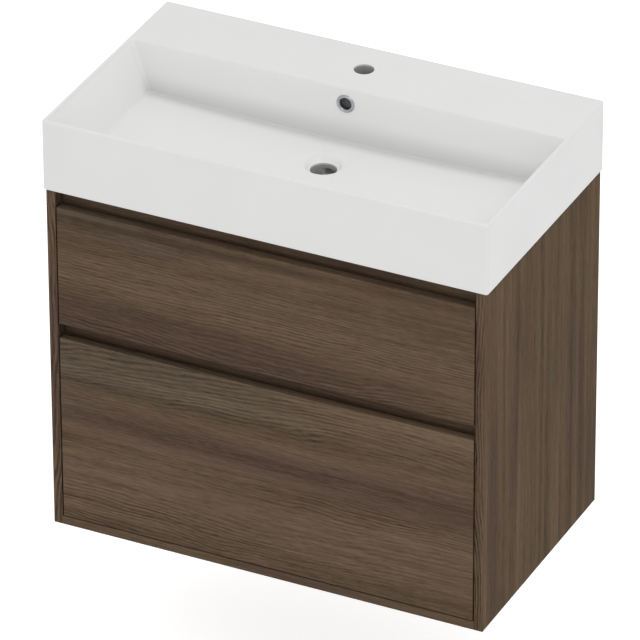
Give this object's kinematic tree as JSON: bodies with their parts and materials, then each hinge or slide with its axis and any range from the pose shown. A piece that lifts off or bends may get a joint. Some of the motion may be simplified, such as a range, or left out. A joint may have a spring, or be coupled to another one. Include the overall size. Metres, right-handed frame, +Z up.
{
  "type": "vanity unit with basin",
  "caption": "Wall-hung vanity unit: a rectangular white basin on a walnut-finish cabinet with handleless soft-close drawers.",
  "frame": {"origin": "in the wall plane, at the centre of the four wall screws", "axes": "+X along the wall, to the right seen from the room; +Y into the wall, so the front faces -Y; +Z up"},
  "size_m": [0.81, 0.46, 0.78],
  "materials": {
    "walnut_decor": "matt embossed walnut decor",
    "white_ceramic": "satin white",
    "chrome": "polished",
    "grey_board": "matt melamine",
    "beech": "bare",
    "zinc_steel": "zinc plated",
    "grey_steel": "satin powder coat",
    "grey_plastic": "fine grain",
    "white_plastic": "smooth"
  },
  "bodies": {
    "cabinet": {"basin": "white_ceramic", "overflow_ring": "chrome", "side_panel_left": "walnut_decor", "side_panel_right": "walnut_decor", "bottom_panel": "walnut_decor", "top_rail": "walnut_decor", "middle_rail": "walnut_decor", "back_rail_upper": "grey_board", "back_rail_lower": "grey_board", "board_dowels": "beech", "wall_plate_left": "zinc_steel", "wall_plate_right": "zinc_steel", "hanger_left": "zinc_steel", "hanger_right": "zinc_steel", "runner_screws": "zinc_steel", "runner_cabinet_upper_left": "zinc_steel", "runner_cabinet_upper_right": "zinc_steel", "soft_close_upper_left": "grey_plastic", "soft_close_upper_right": "grey_plastic", "runner_cabinet_lower_left": "zinc_steel", "runner_cabinet_lower_right": "zinc_steel", "soft_close_lower_left": "grey_plastic", "soft_close_lower_right": "grey_plastic"},
    "slides_upper": {"runner_middle_upper_left": "zinc_steel", "runner_middle_upper_right": "zinc_steel"},
    "cages_fixed_upper": {"cage_fixed_upper_left": "white_plastic", "cage_fixed_upper_right": "white_plastic"},
    "cages_moving_upper": {"cage_moving_upper_left": "white_plastic", "cage_moving_upper_right": "white_plastic"},
    "drawer_upper": {"drawer_front_upper": "walnut_decor", "drawer_side_upper_left": "grey_steel", "drawer_side_upper_right": "grey_steel", "drawer_bottom_upper": "grey_board", "front_bracket_upper_left": "zinc_steel", "front_bracket_upper_right": "zinc_steel", "front_screws_upper": "zinc_steel", "runner_drawer_upper_left": "zinc_steel", "runner_drawer_upper_right": "zinc_steel", "drawer_back_upper_left": "grey_board", "drawer_back_upper_right": "grey_board", "trap_surround": "grey_plastic"},
    "slides_lower": {"runner_middle_lower_left": "zinc_steel", "runner_middle_lower_right": "zinc_steel"},
    "cages_fixed_lower": {"cage_fixed_lower_left": "white_plastic", "cage_fixed_lower_right": "white_plastic"},
    "cages_moving_lower": {"cage_moving_lower_left": "white_plastic", "cage_moving_lower_right": "white_plastic"},
    "drawer_lower": {"drawer_front_lower": "walnut_decor", "drawer_side_lower_left": "grey_steel", "drawer_side_lower_right": "grey_steel", "drawer_bottom_lower": "grey_board", "front_bracket_lower_left": "zinc_steel", "front_bracket_lower_right": "zinc_steel", "front_screws_lower": "zinc_steel", "runner_drawer_lower_left": "zinc_steel", "runner_drawer_lower_right": "zinc_steel", "drawer_back_lower": "grey_board", "gallery_rail_left": "grey_steel", "gallery_rail_right": "grey_steel"}
  },
  "joints": [
    {"name": "drawer_upper_slide", "type": "slide", "parent": "cabinet", "child": "drawer_upper", "axis": [0, -1, 0], "range_m": [0, 0.4]},
    {"name": "slides_upper_slide", "type": "slide", "parent": "cabinet", "child": "slides_upper", "axis": [0, -1, 0], "range_m": [0, 0.2]},
    {"name": "cages_fixed_upper_slide", "type": "slide", "parent": "cabinet", "child": "cages_fixed_upper", "axis": [0, -1, 0], "range_m": [0, 0.1]},
    {"name": "cages_moving_upper_slide", "type": "slide", "parent": "cabinet", "child": "cages_moving_upper", "axis": [0, -1, 0], "range_m": [0, 0.3]},
    {"name": "drawer_lower_slide", "type": "slide", "parent": "cabinet", "child": "drawer_lower", "axis": [0, -1, 0], "range_m": [0, 0.4]},
    {"name": "slides_lower_slide", "type": "slide", "parent": "cabinet", "child": "slides_lower", "axis": [0, -1, 0], "range_m": [0, 0.2]},
    {"name": "cages_fixed_lower_slide", "type": "slide", "parent": "cabinet", "child": "cages_fixed_lower", "axis": [0, -1, 0], "range_m": [0, 0.1]},
    {"name": "cages_moving_lower_slide", "type": "slide", "parent": "cabinet", "child": "cages_moving_lower", "axis": [0, -1, 0], "range_m": [0, 0.3]}
  ],
  "couplings": [
    {"joint": "slides_upper_slide", "follows": "drawer_upper_slide", "ratio": 0.5},
    {"joint": "cages_fixed_upper_slide", "follows": "drawer_upper_slide", "ratio": 0.25},
    {"joint": "cages_moving_upper_slide", "follows": "drawer_upper_slide", "ratio": 0.75},
    {"joint": "slides_lower_slide", "follows": "drawer_lower_slide", "ratio": 0.5},
    {"joint": "cages_fixed_lower_slide", "follows": "drawer_lower_slide", "ratio": 0.25},
    {"joint": "cages_moving_lower_slide", "follows": "drawer_lower_slide", "ratio": 0.75}
  ]
}
